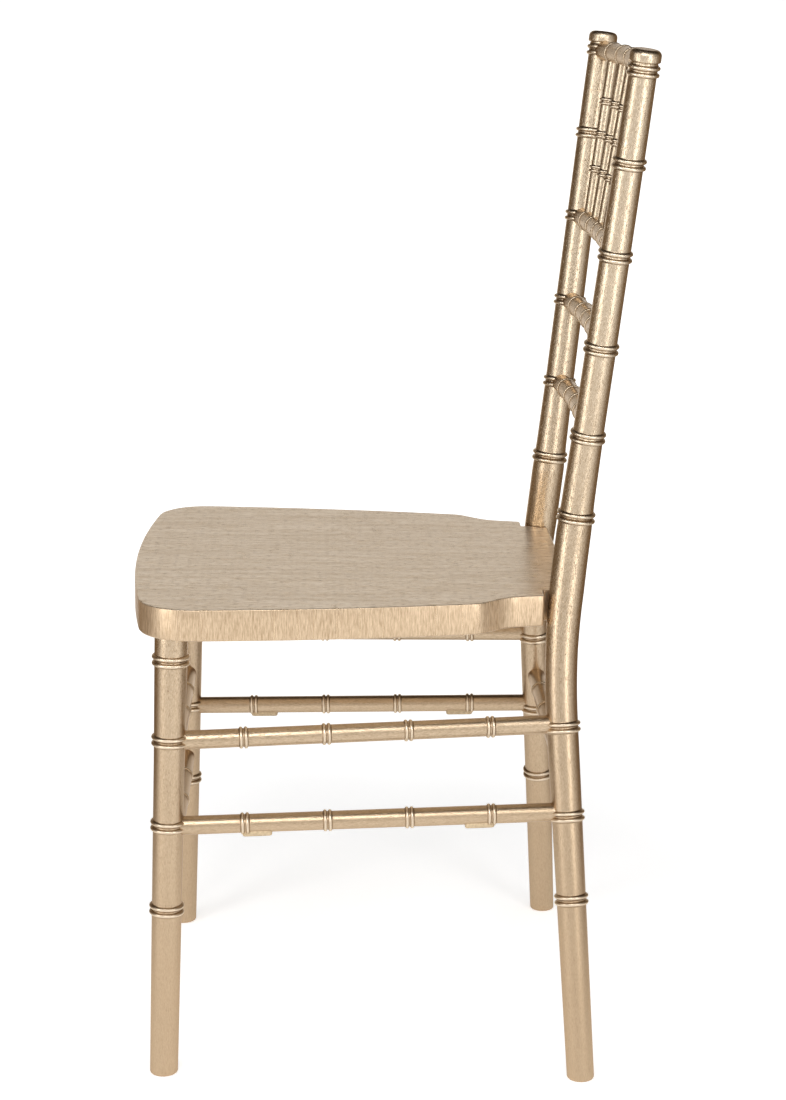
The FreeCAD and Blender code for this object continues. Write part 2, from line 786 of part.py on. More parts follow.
for item in doc.Objects:
    if "Invalid" in item.State or "Error" in item.State:
        raise RuntimeError("%s did not build: %s" % (item.Label, item.State))
for part in parts:
    if part.Shape.isNull() or not part.Shape.isValid():
        raise RuntimeError("%s has no valid shape" % part.Label)

os.makedirs("parts", exist_ok=True)
for part in parts:
    part.Shape.exportStep("parts/%s.step" % part.Label)
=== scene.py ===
"""Chiavari chair: turned sticks, a shaped seat panel and their champagne-gold lacquer.

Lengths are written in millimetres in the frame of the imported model: +Z up, the sitter looks
along -Y and the sitter's left side is +X. Meshes are made in metres.
"""

import logging
import math
from dataclasses import dataclass, field
from enum import Enum
from typing import Callable, Iterable, Sequence

import bmesh
import bpy
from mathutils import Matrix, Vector

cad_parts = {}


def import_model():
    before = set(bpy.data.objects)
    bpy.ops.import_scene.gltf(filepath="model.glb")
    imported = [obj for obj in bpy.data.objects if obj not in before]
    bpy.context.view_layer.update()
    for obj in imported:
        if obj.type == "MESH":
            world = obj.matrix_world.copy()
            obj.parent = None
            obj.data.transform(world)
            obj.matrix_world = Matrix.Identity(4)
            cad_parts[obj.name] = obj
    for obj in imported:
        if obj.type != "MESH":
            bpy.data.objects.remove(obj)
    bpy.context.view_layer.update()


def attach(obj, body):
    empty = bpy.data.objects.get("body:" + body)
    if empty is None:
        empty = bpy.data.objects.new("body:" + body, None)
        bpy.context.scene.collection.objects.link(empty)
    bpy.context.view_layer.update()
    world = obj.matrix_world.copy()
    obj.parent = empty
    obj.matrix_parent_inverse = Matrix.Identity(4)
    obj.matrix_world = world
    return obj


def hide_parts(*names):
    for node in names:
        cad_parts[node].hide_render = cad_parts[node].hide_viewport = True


Colour = tuple[float, float, float]
Triple = tuple[float, float, float]
Span = tuple[float, float]
Fade = tuple[float, float, float, float]
OutlineNode = tuple[float, float, float, float]

LOG = logging.getLogger("chiavari_chair")
MM = 0.001
WHITE: Colour = (1.0, 1.0, 1.0)
BLACK: Colour = (0.0, 0.0, 0.0)
UPWARD = Vector((0.0, 0.0, 1.0))

# Heights that several sub-assemblies share
SEAT_HEIGHT = 436.0
LOW_BEND_HEIGHT = 375.0
HIGH_BEND_HEIGHT = 490.0
TOP_RAIL_HEIGHT = 893.0


class Hand(Enum):
    """The two sides of the chair, as the sitter names them."""

    LEFT = 1
    RIGHT = -1

    @property
    def word(self) -> str:
        """The side's name in lower case."""
        return self.name.lower()


class Slot(Enum):
    """Material slots of the part's record."""

    STICK = "gold_wood"
    SEAT = "seat_wood"
    BUMPER = "bumper"


# Finishes


class NodeBoard:
    """Node tree of a material or world, with short calls to add and join its nodes."""

    def __init__(self, owner: bpy.types.Material | bpy.types.World) -> None:
        """Starts an empty tree.

        Args:
            owner: New material or world that the tree belongs to.
        """
        self.owner = owner
        owner.use_nodes = True
        self.tree = owner.node_tree
        self.tree.nodes.clear()

    def add(self, kind: str, inputs: dict | None = None, **settings: object) -> bpy.types.Node:
        """Adds a node.

        Args:
            kind: Type of the node.
            inputs: Values or sockets for the node's inputs, by name or number.
            **settings: Attributes of the node.

        Returns:
            The new node.
        """
        node = self.tree.nodes.new(kind)
        for key, value in settings.items():
            setattr(node, key, value)
        for key, value in (inputs or {}).items():
            if isinstance(value, bpy.types.NodeSocket):
                self.tree.links.new(value, node.inputs[key])
            else:
                node.inputs[key].default_value = value
        return node

    def maths(self, operation: str, first: object, second: object = 0.0) -> bpy.types.NodeSocket:
        """Returns the result of a Math node on two values or sockets."""
        return self.add("ShaderNodeMath", {0: first, 1: second}, operation=operation).outputs[0]

    def weighted(self, *terms: tuple[object, float]) -> bpy.types.NodeSocket:
        """Adds up values or sockets, each times its share.

        Args:
            *terms: Each value or socket with its share.

        Returns:
            Socket with the sum.
        """
        total = None
        for value, share in terms:
            part = self.maths("MULTIPLY", value, share)
            total = part if total is None else self.maths("ADD", total, part)
        return total

    def between(self, share: object, first: object, second: object) -> bpy.types.NodeSocket:
        """Returns the number between two numbers or sockets at a share."""
        node = self.add("ShaderNodeMix", {0: share, 2: first, 3: second}, data_type="FLOAT")
        return node.outputs[0]

    def parts(self, vector: object) -> bpy.types.bpy_prop_collection:
        """Returns the sockets X, Y and Z of a vector."""
        return self.add("ShaderNodeSeparateXYZ", {0: vector}).outputs

    def moved(self, vector: object, shift: object) -> bpy.types.NodeSocket:
        """Returns a vector plus another."""
        return self.add("ShaderNodeVectorMath", {0: vector, 1: shift}, operation="ADD").outputs[0]

    def object_place(self) -> bpy.types.NodeSocket:
        """Returns the place on the object, in metres in its own frame."""
        return self.add("ShaderNodeTexCoord").outputs["Object"]

    def rays(self) -> tuple[bpy.types.NodeSocket, bpy.types.NodeSocket]:
        """Tells what kind of ray meets the material.

        Returns:
            Socket that is 1 for a reflection, and one that is 1 for that or the camera's ray.
        """
        rays = self.add("ShaderNodeLightPath").outputs
        mirrored = self.maths("MAXIMUM", rays["Is Glossy Ray"], rays["Is Transmission Ray"])
        return mirrored, self.maths("MAXIMUM", rays["Is Camera Ray"], mirrored)

    def stretched(self, place: object, scale: Triple) -> bpy.types.NodeSocket:
        """Returns the place multiplied by a scale for each direction."""
        node = self.add("ShaderNodeMapping", {"Vector": place, "Scale": scale})
        return node.outputs["Vector"]

    def noise(self, place: object, detail: float, roughness: float = 0.5) -> bpy.types.NodeSocket:
        """Returns a noise between 0 and 1 whose features are one unit of the place wide."""
        values = {"Vector": place, "Scale": 1.0, "Detail": detail, "Roughness": roughness}
        return self.add("ShaderNodeTexNoise", values).outputs["Fac"]

    def ramp(self, value: object, low: float, high: float, start: float = 0.0,
             end: float = 1.0) -> bpy.types.NodeSocket:
        """Returns the value mapped from low..high to start..end, held at both ends."""
        values = {"Value": value, "From Min": low, "From Max": high, "To Min": start, "To Max": end}
        return self.add("ShaderNodeMapRange", values).outputs["Result"]

    def blend(self, share: object, first: object, second: object) -> bpy.types.NodeSocket:
        """Blends two colours.

        Args:
            share: How much of the second colour, as a number or socket.
            first: Colour or socket.
            second: Colour or socket.

        Returns:
            Socket with the blended colour.
        """
        def full(value: object) -> object:
            """A colour with its alpha, or the socket as it is."""
            return value if isinstance(value, bpy.types.NodeSocket) else (*value, 1.0)

        node = self.add("ShaderNodeMix", data_type="RGBA")
        for number, value in ((0, share), (6, full(first)), (7, full(second))):
            if isinstance(value, bpy.types.NodeSocket):
                self.tree.links.new(value, node.inputs[number])
            else:
                node.inputs[number].default_value = value
        return node.outputs[2]

    def bump(self, height: object, depth: float) -> bpy.types.NodeSocket:
        """Returns a surface direction roughened by a height of 0 to 1, depth metres deep."""
        values = {"Height": height, "Strength": 1.0, "Distance": depth}
        return self.add("ShaderNodeBump", values).outputs["Normal"]

    def finish(self, inputs: dict) -> bpy.types.Material:
        """Closes the tree with its shader.

        Args:
            inputs: Values and sockets of the shader.

        Returns:
            The finished material.
        """
        shader = self.add("ShaderNodeBsdfPrincipled", inputs)
        self.add("ShaderNodeOutputMaterial", {"Surface": shader.outputs["BSDF"]})
        return self.owner


@dataclass(frozen=True)
class StickLacquer:
    """Champagne-gold lacquer on a turned stick, over open wood grain that it doesn't fill.

    The scales count features per metre, first along the stick and then across it. The heights
    are in metres: low on the chair the lacquer is duller and smoother, and its colour is painted
    darker and warmer there as painted shade.
    """

    name: str = "champagne_gold_stick"
    bright: Colour = (0.71, 0.60, 0.46)
    middle: Colour = (0.41, 0.315, 0.205)
    # Painted shade: darker, warmer copies of the colours for the low parts of the chair
    warm_bright: Colour = (0.63, 0.48, 0.325)
    warm_middle: Colour = (0.35, 0.24, 0.14)
    pore: Colour = (0.15, 0.09, 0.045)
    # Painted shade for the grooves beside the beads
    groove: Colour = (0.16, 0.085, 0.035)
    slant: Colour = (0.78, 0.68, 0.57)
    slant_crest: Colour = (1.0, 0.93, 0.80)
    metallic: float = 1.0
    coat: float = 0.2
    coat_roughness: float = 0.35
    roughness: Span = (0.34, 0.22)
    roughness_heights: Span = (0.05, 0.4)
    roughness_spread: float = 0.12
    warm_heights: Span = (0.1, 0.7)
    grain_heights: Span = (0.12, 0.42)
    low_grain: float = 0.3
    low_tones: Span = (0.32, 0.68)
    tone_span: Span = (0.34, 0.81)
    cloud_scale: Triple = (14, 60, 60)
    cloud_share: float = 0.15
    grain_scale: Triple = (120, 1300, 1300)
    grain_share: float = 0.3
    mottle_scale: Triple = (380, 1100, 1100)
    mottle_share: float = 0.7
    fine_roughness: float = 0.6
    dash_scale: Triple = (220, 1200, 1200)
    dash_span: Span = (0.60, 0.72)
    pore_share: float = 0.45
    groove_share: float = 0.6
    # Painted highlight on the crests of the beads
    crest_span: Span = (0.2, 1.0)
    crest_share: float = 0.85
    depth: float = 0.000085

    def material(self) -> bpy.types.Material:
        """Mixes the lacquer, which reads the stick's own place and relief.

        Returns:
            The lacquer.
        """
        board = NodeBoard(bpy.data.materials.new(self.name))
        place = board.add("ShaderNodeAttribute", attribute_name="stick_place").outputs["Vector"]
        chance = board.add("ShaderNodeObjectInfo").outputs["Random"]
        shift = board.add("ShaderNodeCombineXYZ", {0: chance, 1: chance, 2: chance}).outputs[0]
        own = board.moved(place, shift)
        relief = board.add("ShaderNodeAttribute", attribute_name="relief").outputs["Fac"]
        height = board.parts(board.object_place())["Z"]
        open_grain = board.ramp(height, *self.grain_heights, self.low_grain, 1.0)

        cloud = board.noise(board.stretched(own, self.cloud_scale), 2)
        grain = board.noise(board.stretched(own, self.grain_scale), 2, self.fine_roughness)
        mottle = board.noise(board.stretched(own, self.mottle_scale), 2, self.fine_roughness)
        dash = board.noise(board.stretched(own, self.dash_scale), 1)
        pores = board.maths("MULTIPLY", board.ramp(dash, *self.dash_span), open_grain)

        tone = board.weighted((grain, self.grain_share), (mottle, self.mottle_share),
                              (cloud, self.cloud_share))
        darkest, lightest = self.low_tones
        tone = board.ramp(tone, *self.tone_span,
                          board.ramp(height, *self.grain_heights, darkest, 0.0),
                          board.ramp(height, *self.grain_heights, lightest, 1.0))
        # Painted shade: the colours turn darker and warmer toward the floor
        rise = board.ramp(height, *self.warm_heights)
        colour = board.blend(tone, board.blend(rise, self.warm_middle, self.middle),
                             board.blend(rise, self.warm_bright, self.bright))
        colour = board.blend(board.maths("MULTIPLY", pores, self.pore_share), colour, self.pore)
        # Painted shade: where the relief is below zero, in the grooves beside the beads, the colour
        # is darkened toward dark brown
        low = board.maths("MULTIPLY", board.ramp(relief, 0.0, -1.0), self.groove_share)
        colour = board.blend(low, colour, self.groove)
        # Painted highlight: the crests of the beads are lightened toward the bright colour, and
        # their specular tint is paler
        crest_highlight = board.ramp(relief, *self.crest_span)
        colour = board.blend(board.maths("MULTIPLY", crest_highlight, self.crest_share), colour, self.bright)

        relief_of_grain = board.maths("MULTIPLY", board.maths("ADD", grain, mottle), open_grain)
        return board.finish({
            "Base Color": colour,
            "Metallic": self.metallic,
            "Specular Tint": board.blend(crest_highlight, self.slant, self.slant_crest),
            "Roughness": board.maths(
                "ADD", board.maths("MULTIPLY", mottle, self.roughness_spread),
                board.ramp(height, *self.roughness_heights, *self.roughness)),
            "Coat Weight": self.coat,
            "Coat Roughness": self.coat_roughness,
            "Normal": board.bump(board.maths("SUBTRACT", relief_of_grain, pores), self.depth),
        })


@dataclass(frozen=True)
class SeatLacquer:
    """The same lacquer on the seat panel: fine lines front to back, striations on its edge, whose
    colours are darker copies of the top's as painted shade.

    The scales count features per metre across the lines, along them and over the edge.
    """

    name: str = "champagne_gold_seat"
    bright: Colour = (0.95, 0.84, 0.70)
    middle: Colour = (0.62, 0.49, 0.34)
    pore: Colour = (0.30, 0.21, 0.13)
    # Painted shade: darker copies of the top's colours for the edge
    edge_bright: Colour = (0.78, 0.61, 0.425)
    edge_middle: Colour = (0.42, 0.295, 0.18)
    slant: Colour = (1.0, 0.9, 0.78)
    metallic: float = 0.75
    roughness: Span = (0.25, 0.40)
    edge_facing: Span = (0.85, 0.5)
    bend_scale: Triple = (16, 5, 0)
    bend_width: float = 0.02
    line_scale: Triple = (800, 70, 0)
    line_roughness: float = 0.6
    line_share: float = 0.75
    band_scale: Triple = (110, 8, 0)
    band_share: float = 0.25
    tone_span: Span = (0.42, 0.58)
    dash_scale: Triple = (1300, 150, 0)
    dash_span: Span = (0.58, 0.70)
    pore_share: float = 0.55
    pore_height: float = 0.7
    stripe_scale: Triple = (950, 950, 110)
    stripe_roughness: float = 0.7
    noise_span: Span = (0.3, 0.7)
    depth: float = 0.00012

    def material(self) -> bpy.types.Material:
        """Mixes the lacquer, whose grain differs between the panel's top and edge and whose edge is
        painted darker as painted shade.

        Returns:
            The lacquer.
        """
        board = NodeBoard(bpy.data.materials.new(self.name))
        place = board.object_place()
        facing = board.parts(board.add("ShaderNodeNewGeometry").outputs["Normal"])["Z"]
        edge = board.ramp(board.maths("ABSOLUTE", facing), *self.edge_facing)

        bend = board.noise(board.stretched(place, self.bend_scale), 1)
        across = board.maths("MULTIPLY", bend, self.bend_width)
        bowed = board.moved(place, board.add("ShaderNodeCombineXYZ", {0: across}).outputs[0])
        lines = board.noise(board.stretched(bowed, self.line_scale), 2, self.line_roughness)
        bands = board.noise(board.stretched(bowed, self.band_scale), 2)
        dashes = board.noise(board.stretched(bowed, self.dash_scale), 1)
        pores = board.ramp(dashes, *self.dash_span)
        stripes = board.noise(board.stretched(place, self.stripe_scale), 3, self.stripe_roughness)

        tone = board.weighted((lines, self.line_share), (bands, self.band_share))
        top = board.blend(board.ramp(tone, *self.tone_span), self.middle, self.bright)
        top = board.blend(board.maths("MULTIPLY", pores, self.pore_share), top, self.pore)
        # Painted shade: the edge takes darker copies of the top's colours; its striations are grain
        side = board.blend(board.ramp(stripes, *self.noise_span),
                           self.edge_middle, self.edge_bright)
        flat = board.maths("SUBTRACT", lines, board.maths("MULTIPLY", pores, self.pore_height))
        return board.finish({
            "Base Color": board.blend(edge, top, side),
            "Metallic": self.metallic,
            "Specular Tint": (*self.slant, 1.0),
            "Roughness": board.ramp(lines, *self.noise_span, *self.roughness),
            "Normal": board.bump(board.between(edge, flat, stripes), self.depth),
        })


@dataclass(frozen=True)
class BumperPlastic:
    """Tan plastic of the stacking bumpers, scuffed where chairs rub."""

    name: str = "tan_bumper"
    bright: Colour = (0.72, 0.56, 0.36)
    dull: Colour = (0.58, 0.44, 0.27)
    roughness: Span = (0.42, 0.58)
    speck_scale: Triple = (900, 900, 900)
    speck_span: Span = (0.3, 0.7)
    scuff_scale: Triple = (70, 420, 420)
    scuff_span: Span = (0.35, 0.65)
    depth: float = 0.00008

    def material(self) -> bpy.types.Material:
        """Mixes the plastic.

        Returns:
            The plastic.
        """
        board = NodeBoard(bpy.data.materials.new(self.name))
        place = board.object_place()
        speck = board.noise(board.stretched(place, self.speck_scale), 3)
        scuff = board.noise(board.stretched(place, self.scuff_scale), 2)
        return board.finish({
            "Base Color": board.blend(board.ramp(scuff, *self.scuff_span), self.dull, self.bright),
            "Roughness": board.ramp(speck, *self.speck_span, *self.roughness),
            "Normal": board.bump(speck, self.depth),
        })


# Middle lines of the sticks


@dataclass(frozen=True)
class Lean:
    """Straight line that leans: one point for each height."""

    side: float
    back: float
    side_slope: float
    back_slope: float

    def at(self, hand: Hand, height: float) -> Vector:
        """Returns the point at a height on one side of the chair."""
        across = hand.value * (self.side + self.side_slope * height)
        return Vector((across, self.back + self.back_slope * height, height))


LEG_LINE = Lean(183.8, -207.6, -0.010552, 0.035828)
POST_LOW_LINE = Lean(206.4, 169.0, -0.169, -0.052)
POST_HIGH_LINE = Lean(87.8, 103.0, 0.085, 0.1205)


class Spine:
    """Middle line of a stick: close points and their distances from its start."""

    def __init__(self, points: Iterable[Vector]) -> None:
        """Measures the line.

        Args:
            points: Points from the start of the stick to its end.
        """
        self.points = list(points)
        self.distances = [0.0]
        for before, after in zip(self.points, self.points[1:]):
            self.distances.append(self.distances[-1] + (after - before).length)
        self.length = self.distances[-1]

    @classmethod
    def straight(cls, start: Vector, end: Vector) -> "Spine":
        """Returns the straight line between two points."""
        return cls([start, end])

    @classmethod
    def rounded(cls, corners: Sequence[Vector], reach: float, steps: int = 28) -> "Spine":
        """Joins corners by straight lengths with round bends.

        Args:
            corners: Points where the straight lengths would meet.
            reach: Distance from a corner to each end of its bend.
            steps: Points in one bend.

        Returns:
            The bent line.
        """
        points = [corners[0]]
        for before, corner, after in zip(corners, corners[1:], corners[2:]):
            inward = (corner - before).normalized()
            outward = (after - corner).normalized()
            angle = inward.angle(outward)
            radius = reach / math.tan(angle / 2)
            bow = (outward - inward * math.cos(angle)).normalized()
            start = corner - inward * reach
            for step in range(steps + 1):
                turn = angle * step / steps
                points.append(start + inward * (radius * math.sin(turn))
                              + bow * (radius * (1 - math.cos(turn))))
        points.append(corners[-1])
        return cls(points)

    @classmethod
    def bowed(cls, half: float, back: float, height: float, bow: float,
              steps: int = 96) -> "Spine":
        """Makes a level arc from left to right that bows to the rear.

        Args:
            half: Half its width.
            back: Where its ends stand, front to rear.
            height: Its height.
            bow: How far its middle stands behind its ends.
            steps: Lengths that it is cut into.

        Returns:
            The arc.
        """
        radius = (half * half + bow * bow) / (2 * bow)
        centre = back + bow - radius
        points = []
        for step in range(steps + 1):
            across = half * (1 - 2 * step / steps)
            points.append(Vector((across, centre + math.sqrt(radius ** 2 - across ** 2), height)))
        return cls(points)

    def at(self, distance: float) -> Vector:
        """Finds the point at a distance; beyond either end the line runs on straight.

        Args:
            distance: Distance from the line's start.

        Returns:
            The point.
        """
        last = len(self.points) - 2
        low, high = 0, last
        while low < high:
            middle = (low + high + 1) // 2
            if self.distances[middle] <= distance:
                low = middle
            else:
                high = middle - 1
        span = self.distances[low + 1] - self.distances[low]
        share = (distance - self.distances[low]) / span
        before, after = self.points[low], self.points[low + 1]
        if 0 <= share <= 1:
            return before.lerp(after, share)
        return before + (after - before) * share

    def way(self, distance: float, near: float = 1.5) -> Vector:
        """Returns the direction of the line at a distance."""
        return (self.at(distance + near) - self.at(distance - near)).normalized()

    def where(self, test: Callable[[Vector], float], halvings: int = 40) -> float:
        """Finds where a test, negative at the line's start, turns positive.

        Args:
            test: Gives a number for a point.
            halvings: How often the search halves the line.

        Returns:
            The distance from the line's start.
        """
        low, high = 0.0, self.length
        for _ in range(halvings):
            middle = (low + high) / 2
            if test(self.at(middle)) < 0:
                low = middle
            else:
                high = middle
        return low

    def at_height(self, height: float) -> float:
        """Returns the distance at which a rising line reaches a height."""
        return self.where(lambda point: point.z - height)


# Turned sticks


@dataclass(frozen=True)
class Ring:
    """Pattern of one turned ring: one or more beads side by side.

    The shade is the share of the full painted shade that the lacquer takes in the ring's grooves.
    """

    beads: int
    pitch: float
    width: float
    rise: float
    shade: float = 1.0
    margin: float = 0.9
    steps: int = 12

    def middles(self, place: float) -> list[float]:
        """Returns the middle of each bead of a ring at a place along the stick."""
        first = place - self.pitch * (self.beads - 1) / 2
        return [first + self.pitch * number for number in range(self.beads)]

    def reach(self) -> float:
        """Returns how far a bead and the plain margin beside it reach from its middle."""
        return self.width / 2 + self.margin

    def rows(self, middle: float, base: float) -> list[Triple]:
        """Lays out the rows of one bead.

        Args:
            middle: Distance of the bead's middle along the stick.
            base: Radius of the plain stick there.

        Returns:
            Distance, radius and relief of each row.
        """
        rows = [(middle - self.reach(), base, 0.0)]
        for number in range(self.steps + 1):
            turn = math.pi * number / self.steps
            rows.append((middle - self.width / 2 * math.cos(turn),
                         base + self.rise * math.sin(turn),
                         (1 + self.shade) * math.sin(turn) - self.shade))
        return rows + [(middle + self.reach(), base, 0.0)]


@dataclass
class TurnedStick:
    """Round stick along a spine, with a changing thickness and raised rings.

    The girth gives distances from the start, each with its radius. A row that is no further
    from the last one than the same place is left out, unless its radius differs.
    """

    name: str
    spine: Spine
    girth: Sequence[Span]
    rings: Sequence[tuple[float, Ring]] = ()
    sides: int = 56
    end_rounds: Span = (0.6, 0.6)
    step: float = 5.0
    sideways: Vector = field(default_factory=lambda: Vector((1.0, 0.0, 0.0)))
    level_foot: float = 0.0
    end_steps: int = 5
    same_place: float = 0.004
    same_radius: float = 0.02

    def radius(self, distance: float) -> float:
        """Finds the plain stick's radius.

        Args:
            distance: Distance from the stick's start.

        Returns:
            The radius, even between two places of the girth.
        """
        for (low, before), (high, after) in zip(self.girth, self.girth[1:]):
            if distance <= high:
                share = min(max((distance - low) / max(high - low, 1e-6), 0.0), 1.0)
                return before + (after - before) * share
        return self.girth[-1][1]

    def bead_rows(self) -> list[Triple]:
        """Returns distance, radius and relief of every row on the beads."""
        return [row for place, ring in self.rings for middle in ring.middles(place)
                for row in ring.rows(middle, self.radius(middle))]

    def end_rows(self) -> list[Triple]:
        """Lays out the rows of the two rounded ends.

        Returns:
            Distance, radius and relief of each row.
        """
        rows = []
        for amount, at_end in zip(self.end_rounds, (False, True)):
            limit = self.spine.length if at_end else 0.0
            for number in range(self.end_steps + 1):
                turn = math.pi / 2 * number / self.end_steps
                back = amount * (1 - math.sin(turn))
                rows.append((limit - back if at_end else limit + back,
                             self.radius(limit) - amount * (1 - math.cos(turn)), 0.0))
        return rows

    def rows(self) -> list[Triple]:
        """Lays out all rows from start to end, without plain rows inside a ring.

        Returns:
            Distance, radius and relief of each row.
        """
        blocked = [(middle - ring.reach(), middle + ring.reach())
                   for place, ring in self.rings for middle in ring.middles(place)]
        first, last = self.end_rounds[0], self.spine.length - self.end_rounds[1]
        count = max(int((last - first) / self.step), 2)
        plain = [first + (last - first) * number / count for number in range(1, count)]
        plain += [place for place, _ in self.girth if first < place < last]
        rows = [(place, self.radius(place), 0.0) for place in plain
                if not any(low < place < high for low, high in blocked)]
        rows = sorted(rows + self.bead_rows() + self.end_rows(), key=lambda row: row[0])
        kept = [rows[0]]
        for row in rows[1:]:
            place, radius, _ = kept[-1]
            if row[0] - place > self.same_place or abs(row[1] - radius) > self.same_radius:
                kept.append(row)
        return kept

    def build(self) -> bpy.types.Object:
        """Builds the stick's mesh with its own place and relief at each corner.

        Returns:
            The new object.
        """
        mesh = bmesh.new()
        place_layer = mesh.verts.layers.float_vector.new("stick_place")
        relief_layer = mesh.verts.layers.float.new("relief")
        loops = []
        for distance, radius, relief in self.rows():
            centre = self.spine.at(distance)
            way = self.spine.way(distance)
            if distance < self.level_foot:
                way = UPWARD.lerp(way, distance / self.level_foot).normalized()
            right = (self.sideways - way * self.sideways.dot(way)).normalized()
            up = way.cross(right)
            loop = []
            for number in range(self.sides):
                turn = 2 * math.pi * number / self.sides
                across, over = radius * math.cos(turn), radius * math.sin(turn)
                vert = mesh.verts.new((centre + right * across + up * over) * MM)
                vert[place_layer] = Vector((distance, across, over)) * MM
                vert[relief_layer] = relief
                loop.append(vert)
            loops.append(loop)
        close(mesh, loops)
        return placed(self.name, mesh)


def close(mesh: bmesh.types.BMesh, loops: Sequence[Sequence[bmesh.types.BMVert]]) -> None:
    """Joins loops of corners into a closed skin, smooth but for its two flat ends.

    Args:
        mesh: Mesh that the corners are in.
        loops: Loops of equal length, from one end to the other.
    """
    for before, after in zip(loops, loops[1:]):
        for number in range(len(before)):
            beside = (number + 1) % len(before)
            face = mesh.faces.new((before[number], before[beside], after[beside], after[number]))
            face.smooth = True
    mesh.faces.new(loops[0][::-1])
    mesh.faces.new(loops[-1])


def placed(name: str, mesh: bmesh.types.BMesh) -> bpy.types.Object:
    """Turns a finished mesh into an object of the scene.

    Args:
        name: Name of the object.
        mesh: Mesh in metres; it is freed.

    Returns:
        The new object.
    """
    bmesh.ops.recalc_face_normals(mesh, faces=mesh.faces[:])
    data = bpy.data.meshes.new(name)
    mesh.to_mesh(data)
    mesh.free()
    piece = bpy.data.objects.new(name, data)
    bpy.context.scene.collection.objects.link(piece)
    return piece


def dress(piece: bpy.types.Object, material: bpy.types.Material, node: str) -> None:
    """Gives a piece its finish and its place in the frame.

    Args:
        piece: The piece.
        material: Its finish.
        node: CAD node that it stands for.
    """
    piece.data.materials.append(material)
    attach(piece, "root")
    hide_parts(node)
    LOG.info("%s: %d corners, stands for %s", piece.name, len(piece.data.vertices), node)


@dataclass
class FrontLegs:
    """Two round front legs with four double rings each."""

    lacquer: bpy.types.Material
    head_height: float = 411.0
    girth: tuple[Span, ...] = ((0.0, 12.7), (140.0, 13.3), (296.0, 13.65), (401.0, 14.6),
                               (420.0, 14.7))
    ring_heights: tuple[float, ...] = (157.5, 236.0, 314.5, 387.8)
    ring: Ring = Ring(2, 5.8, 3.9, 2.3)
    end_rounds: Span = (2.6, 0.6)
    level_foot: float = 12.0

    def build(self) -> None:
        """Builds and dresses both legs."""
        for hand in Hand:
            spine = Spine.straight(LEG_LINE.at(hand, 0.0), LEG_LINE.at(hand, self.head_height))
            rings = [(spine.at_height(height), self.ring) for height in self.ring_heights]
            name = f"{hand.word}_front_leg"
            stick = TurnedStick(f"{name}_turned", spine, self.girth, rings,
                                end_rounds=self.end_rounds, level_foot=self.level_foot)
            dress(stick.build(), self.lacquer, name)


@dataclass
class RearPosts:
    """Two bent rear posts with nine double rings each, a neck and a turned cap.

    The levels give heights, each with the post's radius there.
    """

    lacquer: bpy.types.Material
    bend_reach: float = 55.0
    levels: tuple[Span, ...] = (
        (0.0, 12.3), (158.0, 13.2), (271.0, 13.95), (338.0, 14.25), (384.0, 14.55),
        (406.0, 14.95), (437.0, 15.5), (490.0, 15.5), (515.0, 14.7), (586.0, 13.7),
        (668.0, 13.45), (710.0, 13.2), (843.0, 12.6), (885.0, 12.15), (893.0, 12.1))
    ring_heights: tuple[float, ...] = (161.0, 236.0, 315.0, 503.0, 576.0, 655.0, 736.0, 815.0,
                                       893.0)
    ring: Ring = Ring(2, 5.8, 3.9, 2.2)
    neck_start: float = 2.8
    neck_step: float = 0.6
    neck_radius: float = 11.3
    neck_lip: float = 0.05
    cap_top: float = 18.0
    cap_radius: float = 13.75
    cap_length: float = 10.6
    cap_bevel: float = 1.3
    cap_bevel_steps: int = 4
    end_rounds: Span = (2.2, 5.0)
    level_foot: float = 12.0

    def girth(self, spine: Spine) -> list[Span]:
        """Lays out the post's thickness up to the flat top of the cap.

        Args:
            spine: The post's middle line.

        Returns:
            Distances from the foot, each with its radius.
        """
        rows = [(spine.at_height(height), radius) for height, radius in self.levels]
        cap = spine.length - self.cap_length
        neck = cap - self.neck_start
        rows += [(neck, self.levels[-1][1]), (neck + self.neck_step, self.neck_radius),
                 (cap - self.neck_lip, self.neck_radius)]
        for number in range(self.cap_bevel_steps + 1):
            turn = math.pi / 2 * number / self.cap_bevel_steps
            rows.append((cap + self.cap_bevel * (1 - math.cos(turn)),
                         self.cap_radius - self.cap_bevel * (1 - math.sin(turn))))
        return rows + [(spine.length, self.cap_radius)]

    def build(self) -> None:
        """Builds and dresses both posts."""
        for hand in Hand:
            low = POST_LOW_LINE.at(hand, LOW_BEND_HEIGHT)
            high = POST_HIGH_LINE.at(hand, HIGH_BEND_HEIGHT)
            top = POST_HIGH_LINE.at(hand, TOP_RAIL_HEIGHT)
            end = top + (top - high).normalized() * self.cap_top
            spine = Spine.rounded([POST_LOW_LINE.at(hand, 0.0), low, high, end], self.bend_reach)
            rings = [(spine.at_height(height), self.ring) for height in self.ring_heights]
            name = f"{hand.word}_rear_post"
            stick = TurnedStick(f"{name}_turned", spine, self.girth(spine), rings,
                                end_rounds=self.end_rounds, level_foot=self.level_foot)
            dress(stick.build(), self.lacquer, name)


